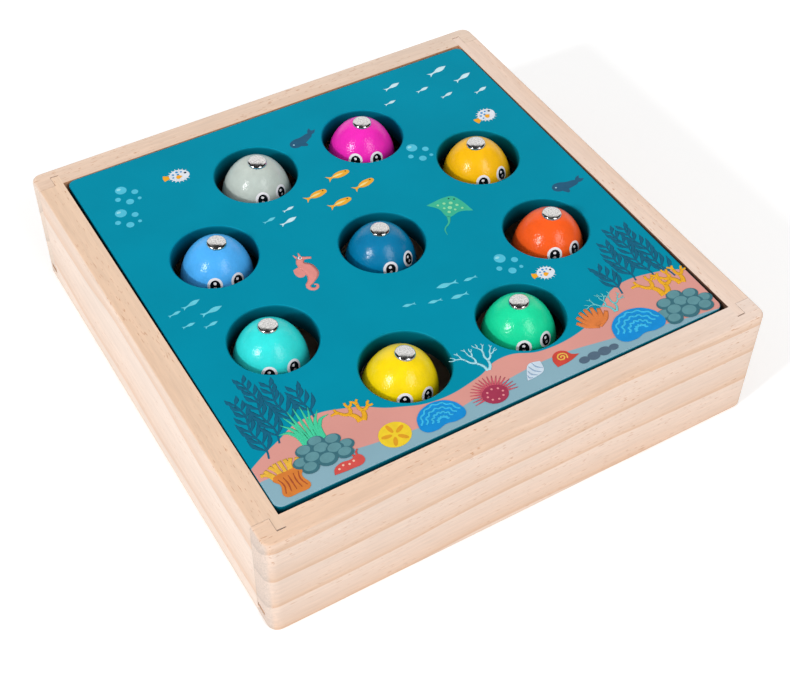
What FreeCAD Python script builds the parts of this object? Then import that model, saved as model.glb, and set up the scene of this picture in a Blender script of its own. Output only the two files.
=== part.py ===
import FreeCAD, Part
import math
import os

# Magnetic fishing game: a square pine box, a printed board with nine holes, and nine egg-shaped pegs.
# Millimetres. +Z is up, +X is to the right along the front board, and +Y points to the back.
# The origin is the middle of the box, on the plane that it stands on.

os.makedirs("parts", exist_ok=True)
V = FreeCAD.Vector

# Frame of four boards
BOX_WIDTH = 200.0
BOX_DEPTH = 200.0
FRAME_HEIGHT = 49.0
BOARD_T = 10.0
CORNER_R = 4.0
EDGE_R = 1.2

# Barefaced tongue and groove at each corner
TONGUE_T = 3.2
TONGUE_L = 5.0
CORNER_GROOVE_DEPTH = 5.5
JOINT_FIT = 0.12

# Bottom panel, held in a groove round the inside of the frame
PANEL_T = 2.0
PANEL_GROOVE_Z = 5.0
PANEL_GROOVE_DEPTH = 5.0
PANEL_FIT = 0.2
PANEL_END_GAP = 0.6

# Game board, laid in the top of the frame a little askew. The gaps are those on each side of it.
GAME_GAP_X = 0.8
GAME_GAP_Y = 1.0
GAME_T = 9.0
GAME_PROUD = 0.2
GAME_CORNER_R = 3.0
GAME_EDGE = 0.5
GAME_TURN = -0.3
GAME_SHIFT_Y = 0.35

# Nine holes: one in the middle and eight on a circle, set in from the frame's inner faces
HOLE_D = 32.3
HOLE_RING_INSET = 28.1
HOLE_RING_COUNT = 8
HOLE_RIM = 0.6

# Battens glued inside the frame, under the game board
BATTEN_W = 6.0
BATTEN_H = 8.0

# Fish pegs: turned eggs with a small flat foot, loose in their holes
FISH_PLAY = 4.7
FISH_CROWN_H = 19.2
FISH_FOOT_D = 8.0
FISH_PROUD = 6.7

# Tacks in the crowns of the pegs
TACK_HEAD_D = 7.4
TACK_HEAD_H = 1.7
TACK_RIM_H = 0.2
TACK_EDGE_R = 1.0
TACK_PIN_D = 1.4
TACK_PIN_L = 9.0
TACK_POINT_L = 1.5

# Each peg: its colour, its hole (0 is the middle one, then 1 to 8 round the circle from the right),
# how far it has slid from the hole's middle, and its lean, as its run in X and Y for each unit of height
FISH = [
    ("grey", 3, (0.2, -0.5), (0.037, -0.082)),
    ("magenta", 2, (-0.2, 0.3), (0.016, -0.014)),
    ("amber", 1, (-0.7, 0.5), (-0.070, 0.0)),
    ("blue", 4, (0.8, -0.2), (0.044, -0.051)),
    ("navy", 0, (-0.8, 0.2), (-0.028, -0.012)),
    ("orange", 8, (1.5, -0.4), (0.033, 0.028)),
    ("turquoise", 5, (-1.4, 0.4), (0.007, 0.045)),
    ("yellow", 6, (-1.0, 0.0), (0.110, -0.005)),
    ("green", 7, (-0.5, 0.9), (-0.038, 0.037)),
]

# Places worked out from the sizes above
OUT_X = BOX_WIDTH / 2
OUT_Y = BOX_DEPTH / 2
IN_X = OUT_X - BOARD_T
IN_Y = OUT_Y - BOARD_T
PANEL_TOP = PANEL_GROOVE_Z + PANEL_T
GAME_HALF_X = IN_X - GAME_GAP_X
GAME_HALF_Y = IN_Y - GAME_GAP_Y
RING_X = IN_X - HOLE_RING_INSET
RING_Y = IN_Y - HOLE_RING_INSET
GAME_TOP = FRAME_HEIGHT + GAME_PROUD
GAME_UNDER = GAME_TOP - GAME_T
FISH_R = (HOLE_D - FISH_PLAY) / 2
FISH_H = GAME_TOP + FISH_PROUD - PANEL_TOP


def save(shape, node):
    shape.exportStep("parts/" + node + ".step")


def block(x0, x1, y0, y1, z0, z1):
    return Part.makeBox(x1 - x0, y1 - y0, z1 - z0, V(x0, y0, z0))


def upright_edges(shape):
    return [e for e in shape.Edges if abs(e.tangentAt(e.FirstParameter).z) > 0.999]


def rim_edges(shape, z):
    return [e for e in shape.Edges if e.BoundBox.ZMin > z - 0.01 and e.BoundBox.ZMax < z + 0.01]


def sanded_block():
    """The outer form of the glued frame, rounded at its corners and along its top and bottom edges."""
    outer = block(-OUT_X, OUT_X, -OUT_Y, OUT_Y, 0, FRAME_HEIGHT)
    outer = outer.makeFillet(CORNER_R, upright_edges(outer))
    return outer.makeFillet(EDGE_R, rim_edges(outer, 0) + rim_edges(outer, FRAME_HEIGHT))


def panel_grooves():
    """The groove for the bottom panel: its runs along X, out at the long boards' ends, and along Y."""
    z1 = PANEL_GROOVE_Z + PANEL_T + PANEL_FIT
    reach_x = IN_X + PANEL_GROOVE_DEPTH
    reach_y = IN_Y + PANEL_GROOVE_DEPTH
    along_x = block(-OUT_X, OUT_X, -reach_y, reach_y, PANEL_GROOVE_Z, z1)
    along_y = block(-reach_x, reach_x, -OUT_Y, OUT_Y, PANEL_GROOVE_Z, z1)
    return along_x, along_y


def long_board(side, outer, groove):
    """Front (side -1) or back (side 1) board: full length, with a stopped groove for each tongue."""
    y_in = side * IN_Y
    y_out = side * OUT_Y
    board = block(-OUT_X, OUT_X, min(y_in, y_out), max(y_in, y_out), 0, FRAME_HEIGHT).common(outer)
    y_groove = side * (IN_Y + CORNER_GROOVE_DEPTH)
    for end in (-1, 1):
        x_in = end * IN_X
        x_out = end * (IN_X + TONGUE_T + JOINT_FIT)
        slot = block(min(x_in, x_out), max(x_in, x_out), min(y_in, y_groove), max(y_in, y_groove),
                     0, FRAME_HEIGHT)
        board = board.cut(slot)
    return board.cut(groove)


def short_board(side, outer, groove):
    """Left (side -1) or right (side 1) board: between the long boards, with a tongue at each end."""
    x_in = side * IN_X
    x_out = side * OUT_X
    shoulder = IN_Y - JOINT_FIT
    board = block(min(x_in, x_out), max(x_in, x_out), -shoulder, shoulder, 0, FRAME_HEIGHT).common(outer)
    x_tongue = side * (IN_X + TONGUE_T)
    reach = IN_Y + TONGUE_L
    tongues = block(min(x_in, x_tongue), max(x_in, x_tongue), -reach, reach, 0, FRAME_HEIGHT)
    return board.fuse(tongues).removeSplitter().cut(groove)


def hole_centres():
    """The middle hole, then those on the circle, which starts half a step round from +X."""
    step = 2 * math.pi / HOLE_RING_COUNT
    angles = [step * (i + 0.5) for i in range(HOLE_RING_COUNT)]
    return [(0.0, 0.0)] + [(RING_X * math.cos(a), RING_Y * math.sin(a)) for a in angles]


def game_board():
    """The board on its own, square to the axes, with its holes drilled and their rims eased."""
    board = block(-GAME_HALF_X, GAME_HALF_X, -GAME_HALF_Y, GAME_HALF_Y, GAME_UNDER, GAME_TOP)
    board = board.makeFillet(GAME_CORNER_R, upright_edges(board))
    board = board.makeChamfer(GAME_EDGE, rim_edges(board, GAME_TOP))
    hole_r = HOLE_D / 2
    for x, y in hole_centres():
        board = board.cut(Part.makeCylinder(hole_r, GAME_T, V(x, y, GAME_UNDER)))
        easing = Part.makeCone(hole_r, hole_r + HOLE_RIM, HOLE_RIM, V(x, y, GAME_TOP - HOLE_RIM))
        board = board.cut(easing)
    return board


def laid_in_frame(shape):
    """Turn and shift a shape drawn about the game board's middle to where the board lies."""
    placed = shape.copy()
    placed.rotate(V(0, 0, 0), V(0, 0, 1), GAME_TURN)
    placed.translate(V(0, GAME_SHIFT_Y, 0))
    return placed


def turned(edges):
    """A solid turned about Z from a closed half profile."""
    return Part.Face(Part.Wire(Part.__sortEdges__(edges))).revolve(V(0, 0, 0), V(0, 0, 1), 360)


def fish_body():
    """A turned egg on its foot at the origin: two quarter ellipses that meet at the widest ring."""
    foot_r = FISH_FOOT_D / 2
    widest_z = FISH_H - FISH_CROWN_H
    lower_h = widest_z / math.sqrt(1 - (foot_r / FISH_R) ** 2)
    middle = V(0, 0, widest_z)
    crown = Part.Ellipse(V(0, 0, widest_z + FISH_CROWN_H), V(FISH_R, 0, widest_z), middle)
    lower = Part.Ellipse(V(0, 0, widest_z - lower_h), V(FISH_R, 0, widest_z), middle)
    seat_u = math.asin(TACK_HEAD_D / 2 / FISH_R)
    foot_u = math.asin(foot_r / FISH_R)
    crown_arc = crown.toShape(seat_u, math.pi / 2)
    lower_arc = lower.toShape(foot_u, math.pi / 2)
    seat = crown.value(seat_u)
    foot = lower.value(foot_u)
    body = turned([
        Part.makeLine(V(0, 0, foot.z), foot),
        lower_arc,
        crown_arc,
        Part.makeLine(seat, V(0, 0, seat.z)),
        Part.makeLine(V(0, 0, seat.z), V(0, 0, foot.z)),
    ])
    return body, seat.z


def tack(seat_z):
    """A tack in one turning: a pointed pin, and a head whose low dome rounds down to a short rim."""
    head_r = TACK_HEAD_D / 2
    pin_r = TACK_PIN_D / 2
    tip = V(0, 0, seat_z - TACK_PIN_L)
    point_top = V(pin_r, 0, seat_z - TACK_PIN_L + TACK_POINT_L)
    shank_top = V(pin_r, 0, seat_z)
    rim_low = V(head_r, 0, seat_z)
    rim_top = V(head_r, 0, seat_z + TACK_RIM_H)
    crown = V(0, 0, seat_z + TACK_HEAD_H)
    # The dome's radius is the one that meets the edge's arc without a corner, steep radians from the crown
    dome_h = TACK_HEAD_H - TACK_RIM_H
    edge_x = head_r - TACK_EDGE_R
    dome_r = (edge_x ** 2 + dome_h ** 2 - TACK_EDGE_R ** 2) / (2 * (dome_h - TACK_EDGE_R))
    steep = math.asin(edge_x / (dome_r - TACK_EDGE_R))

    def on_dome(angle):
        return crown + V(dome_r * math.sin(angle), 0, dome_r * math.cos(angle) - dome_r)

    def on_edge(angle):
        return V(edge_x + TACK_EDGE_R * math.sin(angle), 0, rim_top.z + TACK_EDGE_R * math.cos(angle))

    return turned([
        Part.makeLine(tip, point_top),
        Part.makeLine(point_top, shank_top),
        Part.makeLine(shank_top, rim_low),
        Part.makeLine(rim_low, rim_top),
        Part.Arc(rim_top, on_edge((steep + math.pi / 2) / 2), on_edge(steep)).toShape(),
        Part.Arc(on_dome(steep), on_dome(steep / 2), crown).toShape(),
        Part.makeLine(crown, tip),
    ])


def stood_in_hole(shape, hole, slid, lean):
    """Lean a peg's shape about its axis at the board's top, then drop it onto the bottom panel."""
    hole_x, hole_y = hole_centres()[hole]
    lean_x, lean_y = lean
    tilt = math.degrees(math.atan(math.hypot(lean_x, lean_y)))
    pivot_h = GAME_TOP - PANEL_TOP
    placed = shape.copy()
    placed.rotate(V(0, 0, pivot_h), V(-lean_y, lean_x, 0), tilt)
    low = foot_drop(tilt, pivot_h)
    placed.translate(V(hole_x + slid[0], hole_y + slid[1], PANEL_TOP - low))
    return placed


def foot_drop(tilt, pivot_h):
    """Height of the lowest point of the foot's edge once the peg has leaned by tilt degrees."""
    angle = math.radians(tilt)
    return pivot_h - pivot_h * math.cos(angle) - FISH_FOOT_D / 2 * math.sin(angle)


outer = sanded_block()
groove_x, groove_y = panel_grooves()

save(long_board(-1, outer, groove_x), "front_board")
save(long_board(1, outer, groove_x), "back_board")
save(short_board(-1, outer, groove_y), "left_board")
save(short_board(1, outer, groove_y), "right_board")

panel_x = IN_X + PANEL_GROOVE_DEPTH - PANEL_END_GAP
panel_y = IN_Y + PANEL_GROOVE_DEPTH - PANEL_END_GAP
save(block(-panel_x, panel_x, -panel_y, panel_y, PANEL_GROOVE_Z, PANEL_TOP), "bottom_panel")

batten_z = GAME_UNDER - BATTEN_H
batten_in_y = IN_Y - BATTEN_W
save(block(-IN_X, IN_X, -IN_Y, -batten_in_y, batten_z, GAME_UNDER), "front_batten")
save(block(-IN_X, IN_X, batten_in_y, IN_Y, batten_z, GAME_UNDER), "back_batten")
save(block(-IN_X, -IN_X + BATTEN_W, -batten_in_y, batten_in_y, batten_z, GAME_UNDER), "left_batten")
save(block(IN_X - BATTEN_W, IN_X, -batten_in_y, batten_in_y, batten_z, GAME_UNDER), "right_batten")

save(laid_in_frame(game_board()), "game_board")

body, seat_z = fish_body()
fish_tack = tack(seat_z)
fish = body.cut(fish_tack)
for colour, hole, slid, lean in FISH:
    save(laid_in_frame(stood_in_hole(fish, hole, slid, lean)), "fish_" + colour)
    save(laid_in_frame(stood_in_hole(fish_tack, hole, slid, lean)), "tack_" + colour)
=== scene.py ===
import math
import bpy
from mathutils import Color, Matrix, Vector


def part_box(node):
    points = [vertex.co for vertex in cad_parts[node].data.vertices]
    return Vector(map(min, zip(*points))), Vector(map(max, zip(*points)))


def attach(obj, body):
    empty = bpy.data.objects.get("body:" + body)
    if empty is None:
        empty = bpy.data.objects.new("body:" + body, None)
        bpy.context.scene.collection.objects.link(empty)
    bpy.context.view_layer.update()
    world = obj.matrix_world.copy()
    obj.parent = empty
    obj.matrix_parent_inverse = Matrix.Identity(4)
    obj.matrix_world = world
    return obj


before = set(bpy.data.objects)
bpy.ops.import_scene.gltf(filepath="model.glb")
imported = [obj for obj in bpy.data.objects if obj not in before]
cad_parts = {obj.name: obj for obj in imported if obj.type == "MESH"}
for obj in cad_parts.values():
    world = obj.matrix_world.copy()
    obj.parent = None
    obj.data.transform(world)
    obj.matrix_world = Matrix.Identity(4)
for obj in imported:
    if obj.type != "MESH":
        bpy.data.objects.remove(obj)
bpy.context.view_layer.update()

# --- View
# The whole box, seen from its front left corner and from well above it.
# The camera is about half a metre away, with a lens of 65 mm.
MM = 0.001
VIEW_AZIMUTH = math.radians(-31.17)
VIEW_ELEVATION = math.radians(47.28)
VIEW_ROLL = math.radians(0.90)
VIEW_DISTANCE = 529.14 * MM
VIEW_TARGET = Vector((-8.58, -24.01, 24.6)) * MM
VIEW_LENS = 64.94
SENSOR_WIDTH = 36.0
NEAREST_SEEN = 10 * MM

toward_camera = Vector((math.sin(VIEW_AZIMUTH) * math.cos(VIEW_ELEVATION),
                        -math.cos(VIEW_AZIMUTH) * math.cos(VIEW_ELEVATION),
                        math.sin(VIEW_ELEVATION)))
level_right = Vector((math.cos(VIEW_AZIMUTH), math.sin(VIEW_AZIMUTH), 0.0))
level_up = toward_camera.cross(level_right)
view_right = math.cos(VIEW_ROLL) * level_right + math.sin(VIEW_ROLL) * level_up
view_up = math.cos(VIEW_ROLL) * level_up - math.sin(VIEW_ROLL) * level_right

bpy.ops.object.camera_add()
camera = bpy.context.object
camera.name = "camera"
camera.data.lens = VIEW_LENS
camera.data.sensor_width = SENSOR_WIDTH
camera.data.clip_start = NEAREST_SEEN
camera.matrix_world = Matrix.Translation(VIEW_TARGET + toward_camera * VIEW_DISTANCE) @ Matrix(
    (view_right, view_up, toward_camera)).transposed().to_4x4()
bpy.context.scene.camera = camera


# --- Studio
# A white floor, one small softbox to the left, and a larger and weaker one in front.
# A pale room behind the box gives its gloss something to mirror.
KEY_TOWARD = Vector((-0.85, -0.18, 0.48))
FRONT_TOWARD = Vector((0.15, -0.81, 0.56))
LIGHT_DISTANCE = 4.0
KEY_SIZE = 0.4
KEY_WATTS = 64.0
FRONT_WIDTH = 1.5
FRONT_HEIGHT = 2.1
FRONT_WATTS = 42.5


def softbox(name, toward, width, height, watts):
    """A flat light that faces the box."""
    bpy.ops.object.light_add(type="AREA", location=toward.normalized() * LIGHT_DISTANCE)
    light = bpy.context.object
    light.name = name
    light.data.shape = "RECTANGLE"
    light.data.size = width
    light.data.size_y = height
    light.data.energy = watts
    light.rotation_euler = toward.to_track_quat("Z", "Y").to_euler()


softbox("key_softbox", KEY_TOWARD, KEY_SIZE, KEY_SIZE, KEY_WATTS)
softbox("front_softbox", FRONT_TOWARD, FRONT_WIDTH, FRONT_HEIGHT, FRONT_WATTS)


def put(tree, kind, settings=None, inputs=None):
    """Add one shader node, and set or link its inputs by name or number."""
    node = tree.nodes.new("ShaderNode" + kind)
    for name, value in (settings or {}).items():
        setattr(node, name, value)
    for name, value in (inputs or {}).items():
        if isinstance(value, bpy.types.NodeSocket):
            tree.links.new(value, node.inputs[name])
        else:
            node.inputs[name].default_value = value
    return node


# The backdrop stands this way from the box. A ray's reach grows as it turns there, or up. Below the outer
# edge it meets the dark front, and above the inner edge the full backdrop
BACKDROP_TOWARD = (0.52, 0.85, 0.0)
BACKDROP_OUTER_EDGE = 0.56
BACKDROP_INNER_EDGE = 0.66
BACKDROP_OVERHEAD = 0.35
BACKDROP_LIGHT = 0.80
DARK_FRONT_LIGHT = 0.02
EVEN_LIGHT = 0.636


def room():
    """A room for gloss to mirror: a bright backdrop that curves up over the box, and a dark front.
    Everything else gets an even light from it, and its own background is seen as pure white."""
    world = bpy.data.worlds.new("room")
    world.use_nodes = True
    tree = world.node_tree
    tree.nodes.clear()
    direction = put(tree, "TexCoord").outputs["Generated"]
    behind = put(tree, "VectorMath", {"operation": "DOT_PRODUCT"}, {0: direction, 1: BACKDROP_TOWARD})
    up = put(tree, "SeparateXYZ", {}, {"Vector": direction})
    overhead = put(tree, "Math", {"operation": "POWER"}, {0: up.outputs["Z"], 1: 2.0})
    reach = put(tree, "Math", {"operation": "MULTIPLY_ADD"},
                {0: overhead.outputs["Value"], 1: BACKDROP_OVERHEAD, 2: behind.outputs["Value"]})
    backdrop = put(tree, "MapRange", {"interpolation_type": "SMOOTHSTEP"},
                   {"Value": reach.outputs["Value"], "From Min": BACKDROP_OUTER_EDGE,
                    "From Max": BACKDROP_INNER_EDGE, "To Min": DARK_FRONT_LIGHT, "To Max": BACKDROP_LIGHT})
    rays = put(tree, "LightPath")
    even = put(tree, "Mix", {}, {"Factor": rays.outputs["Is Glossy Ray"], "A": EVEN_LIGHT,
                                 "B": backdrop.outputs["Result"]})
    seen = put(tree, "Mix", {}, {"Factor": rays.outputs["Is Camera Ray"], "A": even.outputs["Result"],
                                 "B": 1.0})
    light = put(tree, "Background", {}, {"Strength": seen.outputs["Result"]})
    light.inputs["Color"].default_value = (1.0, 1.0, 1.0, 1.0)
    output = put(tree, "OutputWorld")
    tree.links.new(light.outputs["Background"], output.inputs["Surface"])
    bpy.context.scene.world = world


room()
bpy.context.scene.view_settings.view_transform = "Standard"


def finish_of(name):
    """A new material with its node tree and its Principled shader."""
    material = bpy.data.materials.new(name)
    material.use_nodes = True
    return material, material.node_tree, material.node_tree.nodes["Principled BSDF"]


FLOOR_HALF = 8.0

bpy.ops.object.select_all(action="DESELECT")
bpy.ops.mesh.primitive_plane_add(size=2 * FLOOR_HALF)
floor = bpy.context.object
floor.name = "floor"
paper, tree, shader = finish_of("white_paper")
place = put(tree, "TexCoord").outputs["Object"]
mottle = put(tree, "TexNoise", {}, {"Vector": place, "Scale": 6.0, "Detail": 3.0})
tone = put(tree, "MapRange", {}, {"Value": mottle.outputs["Fac"], "To Min": 0.93, "To Max": 0.97})
away = put(tree, "VectorMath", {"operation": "LENGTH"}, {0: place})
lift = put(tree, "MapRange", {}, {"Value": away.outputs["Value"], "From Min": 0.3, "From Max": 1.5,
                                  "To Min": 0.22, "To Max": 0.6})
glow = put(tree, "Math", {"operation": "MULTIPLY"}, {0: put(tree, "LightPath").outputs["Is Camera Ray"],
                                                     1: lift.outputs["Result"]})
tree.links.new(tone.outputs["Result"], shader.inputs["Base Color"])
tree.links.new(glow.outputs["Value"], shader.inputs["Emission Strength"])
shader.inputs["Emission Color"].default_value = (1.0, 1.0, 1.0, 1.0)
shader.inputs["Roughness"].default_value = 0.9
shader.inputs["Specular IOR Level"].default_value = 0.0
floor.data.materials.append(paper)


# --- Box frame
# Four boards of pale pine, planed and sanded, with tongue and groove corners glued up. The long front and
# back boards show their end grain at the sides. Strips glued inside carry the game board, and a ply panel
# in a groove closes the bottom.
BOX_HALF = 100 * MM
# What is nearer the middle than this, both ways, is inside the frame and gets painted shade
INSIDE_HALF = 90.05 * MM
# How the wood's patterns shrink along the grain and across it
SWAY_SCALE = (9.0, 34.0, 34.0)
FIBRE_SCALE = (110.0, 1500.0, 1500.0)
FLECK_SCALE = (300.0, 2100.0, 2100.0)
# How close the thin lines stand between two growth rings
THIN_LINES = 37.0
FLECK_BROWN = (0.58, 0.32, 0.19, 1.0)
NO_TINT = (1.0, 1.0, 1.0)


def grain_group():
    """Pine as a solid: growth rings about a pith, fibres along X, short resin flecks and grey end grain.
    Its upper edge gets painted light and shade, and its faces inside the frame painted shade, each changing
    from left to right."""
    group = bpy.data.node_groups.new("pine_grain", "ShaderNodeTree")
    face = group.interface
    for name, kind, value in (("Vector", "NodeSocketVector", None), ("Normal", "NodeSocketVector", None),
                              ("Pith", "NodeSocketVector", (0.0, 0.0, 0.1)),
                              ("Ring Width", "NodeSocketFloat", 0.013),
                              ("Early", "NodeSocketColor", (0.9, 0.7, 0.6, 1.0)),
                              ("Late", "NodeSocketColor", (0.8, 0.5, 0.35, 1.0)),
                              ("End", "NodeSocketColor", (0.7, 0.6, 0.52, 1.0)),
                              ("Top Light Left", "NodeSocketColor", (*NO_TINT, 1.0)),
                              ("Top Light Right", "NodeSocketColor", (*NO_TINT, 1.0)),
                              ("Gap Shade Left", "NodeSocketColor", (*NO_TINT, 1.0)),
                              ("Gap Shade Right", "NodeSocketColor", (*NO_TINT, 1.0)),
                              ("Flecks", "NodeSocketFloat", 1.0)):
        socket = face.new_socket(name, in_out="INPUT", socket_type=kind)
        if value is not None:
            socket.default_value = value
    face.new_socket("Color", in_out="OUTPUT", socket_type="NodeSocketColor")
    face.new_socket("Height", in_out="OUTPUT", socket_type="NodeSocketFloat")
    given = group.nodes.new("NodeGroupInput").outputs
    place = given["Vector"]

    slow = put(group, "VectorMath", {"operation": "MULTIPLY"}, {0: place, 1: SWAY_SCALE})
    sway = put(group, "TexNoise", {}, {"Vector": slow.outputs["Vector"], "Scale": 1.0, "Detail": 2.0,
                                       "Roughness": 0.45})
    bend = put(group, "MapRange", {}, {"Value": sway.outputs["Fac"], "To Min": -0.006, "To Max": 0.006})
    offset = put(group, "VectorMath", {"operation": "SUBTRACT"}, {0: place, 1: given["Pith"]})
    across = put(group, "VectorMath", {"operation": "MULTIPLY"}, {0: offset.outputs["Vector"],
                                                                   1: (0.0, 1.0, 1.0)})
    radius = put(group, "VectorMath", {"operation": "LENGTH"}, {0: across.outputs["Vector"]})
    swayed = put(group, "Math", {"operation": "ADD"}, {0: radius.outputs["Value"], 1: bend.outputs["Result"]})
    rings = put(group, "Math", {"operation": "DIVIDE"}, {0: swayed.outputs["Value"], 1: given["Ring Width"]})
    ring = put(group, "Math", {"operation": "FRACT"}, {0: rings.outputs["Value"]})
    lateness = put(group, "ValToRGB", {}, {"Fac": ring.outputs["Value"]})
    ramp = lateness.color_ramp
    ramp.interpolation = "EASE"
    ramp.elements[0].position = 0.0
    ramp.elements[0].color = (0.0, 0.0, 0.0, 1.0)
    ramp.elements[1].position = 1.0
    ramp.elements[1].color = (0.25, 0.25, 0.25, 1.0)
    for position, value in ((0.40, 0.16), (0.80, 0.42), (0.93, 0.78), (0.965, 0.95)):
        stop = ramp.elements.new(position)
        stop.color = (value, value, value, 1.0)
    wood = put(group, "Mix", {"data_type": "RGBA"}, {"Factor": lateness.outputs["Color"],
                                                     "A": given["Early"], "B": given["Late"]})

    thin = put(group, "VectorMath", {"operation": "MULTIPLY"}, {0: place, 1: FIBRE_SCALE})
    fibre = put(group, "TexNoise", {}, {"Vector": thin.outputs["Vector"], "Scale": 1.0, "Detail": 3.0})
    fibre_tone = put(group, "MapRange", {}, {"Value": fibre.outputs["Fac"], "From Min": 0.3, "From Max": 0.7,
                                             "To Min": 0.94, "To Max": 1.03})
    thin_rings = put(group, "Math", {"operation": "MULTIPLY"}, {0: rings.outputs["Value"], 1: THIN_LINES})
    thin_ring = put(group, "Math", {"operation": "SINE"}, {0: thin_rings.outputs["Value"]})
    line_tone = put(group, "MapRange", {}, {"Value": thin_ring.outputs["Value"], "From Min": -1.0,
                                            "To Min": 0.975, "To Max": 1.005})
    cloudy = put(group, "TexNoise", {}, {"Vector": slow.outputs["Vector"], "Scale": 2.7, "Detail": 3.0})
    cloud_tone = put(group, "MapRange", {}, {"Value": cloudy.outputs["Fac"], "From Min": 0.3,
                                             "From Max": 0.7, "To Min": 0.96, "To Max": 1.03})
    streaks = put(group, "Math", {"operation": "MULTIPLY"}, {0: fibre_tone.outputs["Result"],
                                                             1: line_tone.outputs["Result"]})
    tone = put(group, "Math", {"operation": "MULTIPLY"}, {0: streaks.outputs["Value"],
                                                          1: cloud_tone.outputs["Result"]})
    toned = put(group, "VectorMath", {"operation": "SCALE"}, {0: wood.outputs["Result"],
                                                              "Scale": tone.outputs["Value"]})

    short = put(group, "VectorMath", {"operation": "MULTIPLY"}, {0: place, 1: FLECK_SCALE})
    dash = put(group, "TexNoise", {}, {"Vector": short.outputs["Vector"], "Scale": 1.0, "Detail": 1.0})
    dashes = put(group, "MapRange", {}, {"Value": dash.outputs["Fac"], "From Min": 0.65, "From Max": 0.71})
    patchy = put(group, "MapRange", {}, {"Value": cloudy.outputs["Fac"], "From Min": 0.38, "From Max": 0.58})
    flecks = put(group, "Math", {"operation": "MULTIPLY"}, {0: dashes.outputs["Result"],
                                                            1: patchy.outputs["Result"]})
    fleck_amount = put(group, "Math", {"operation": "MULTIPLY"}, {0: flecks.outputs["Value"],
                                                                  1: given["Flecks"]})
    flecked = put(group, "Mix", {"data_type": "RGBA"}, {"Factor": fleck_amount.outputs["Value"],
                                                        "A": toned.outputs["Vector"],
                                                        "B": FLECK_BROWN})

    facing = put(group, "VectorMath", {"operation": "DOT_PRODUCT"}, {0: given["Normal"], 1: (1.0, 0.0, 0.0)})
    end_on = put(group, "Math", {"operation": "ABSOLUTE"}, {0: facing.outputs["Value"]})
    end_mask = put(group, "MapRange", {"interpolation_type": "SMOOTHSTEP"},
                   {"Value": end_on.outputs["Value"], "From Min": 0.55, "From Max": 0.9})
    pores = put(group, "TexNoise", {}, {"Vector": place, "Scale": 1500.0, "Detail": 3.0})
    pore_tone = put(group, "MapRange", {}, {"Value": pores.outputs["Fac"], "From Min": 0.3,
                                            "From Max": 0.7, "To Min": 0.86, "To Max": 1.10})
    end_ring = put(group, "Math", {"operation": "MULTIPLY_ADD"}, {0: lateness.outputs["Color"], 1: -0.20,
                                                                  2: 1.06})
    end_tone = put(group, "Math", {"operation": "MULTIPLY"}, {0: pore_tone.outputs["Result"],
                                                              1: end_ring.outputs["Value"]})
    end_wood = put(group, "VectorMath", {"operation": "SCALE"}, {0: given["End"],
                                                                 "Scale": end_tone.outputs["Value"]})
    colour = put(group, "Mix", {"data_type": "RGBA"}, {"Factor": end_mask.outputs["Result"],
                                                       "A": flecked.outputs["Result"],
                                                       "B": end_wood.outputs["Vector"]})
    # Top faces are tinted, changing from left to right: painted light and shade.
    level = put(group, "VectorMath", {"operation": "DOT_PRODUCT"}, {0: given["Normal"], 1: (0.0, 0.0, 1.0)})
    top_mask = put(group, "MapRange", {"interpolation_type": "SMOOTHSTEP"},
                   {"Value": level.outputs["Value"], "From Min": 0.75, "From Max": 0.98})
    along = put(group, "SeparateXYZ", {}, {"Vector": place})
    share = put(group, "MapRange", {}, {"Value": along.outputs["X"], "From Min": -BOX_HALF,
                                        "From Max": BOX_HALF})
    top_light_tone = put(group, "Mix", {"data_type": "RGBA"}, {"Factor": share.outputs["Result"],
                                                         "A": given["Top Light Left"], "B": given["Top Light Right"]})
    top = put(group, "VectorMath", {"operation": "MULTIPLY"}, {0: colour.outputs["Result"],
                                                               1: top_light_tone.outputs["Result"]})
    colour = put(group, "Mix", {"data_type": "RGBA"}, {"Factor": top_mask.outputs["Result"],
                                                       "A": colour.outputs["Result"],
                                                       "B": top.outputs["Vector"]})
    # Faces inside the frame are tinted darker, changing from left to right: painted shade in the gap round
    # the board.
    off_centre = put(group, "VectorMath", {"operation": "ABSOLUTE"}, {0: place})
    off = put(group, "SeparateXYZ", {}, {"Vector": off_centre.outputs["Vector"]})
    farthest = put(group, "Math", {"operation": "MAXIMUM"}, {0: off.outputs["X"], 1: off.outputs["Y"]})
    inside = put(group, "Math", {"operation": "LESS_THAN"}, {0: farthest.outputs["Value"], 1: INSIDE_HALF})
    gap_shade_tone = put(group, "Mix", {"data_type": "RGBA"}, {"Factor": share.outputs["Result"],
                                                           "A": given["Gap Shade Left"],
                                                           "B": given["Gap Shade Right"]})
    inner = put(group, "VectorMath", {"operation": "MULTIPLY"}, {0: colour.outputs["Result"],
                                                                 1: gap_shade_tone.outputs["Result"]})
    colour = put(group, "Mix", {"data_type": "RGBA", "clamp_result": True},
                 {"Factor": inside.outputs["Value"], "A": colour.outputs["Result"],
                  "B": inner.outputs["Vector"]})
    height = put(group, "Math", {"operation": "SUBTRACT"}, {0: fibre_tone.outputs["Result"],
                                                            1: fleck_amount.outputs["Value"]})
    result = group.nodes.new("NodeGroupOutput")
    group.links.new(colour.outputs["Result"], result.inputs["Color"])
    group.links.new(height.outputs["Value"], result.inputs["Height"])
    return group


pine_grain = grain_group()


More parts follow.
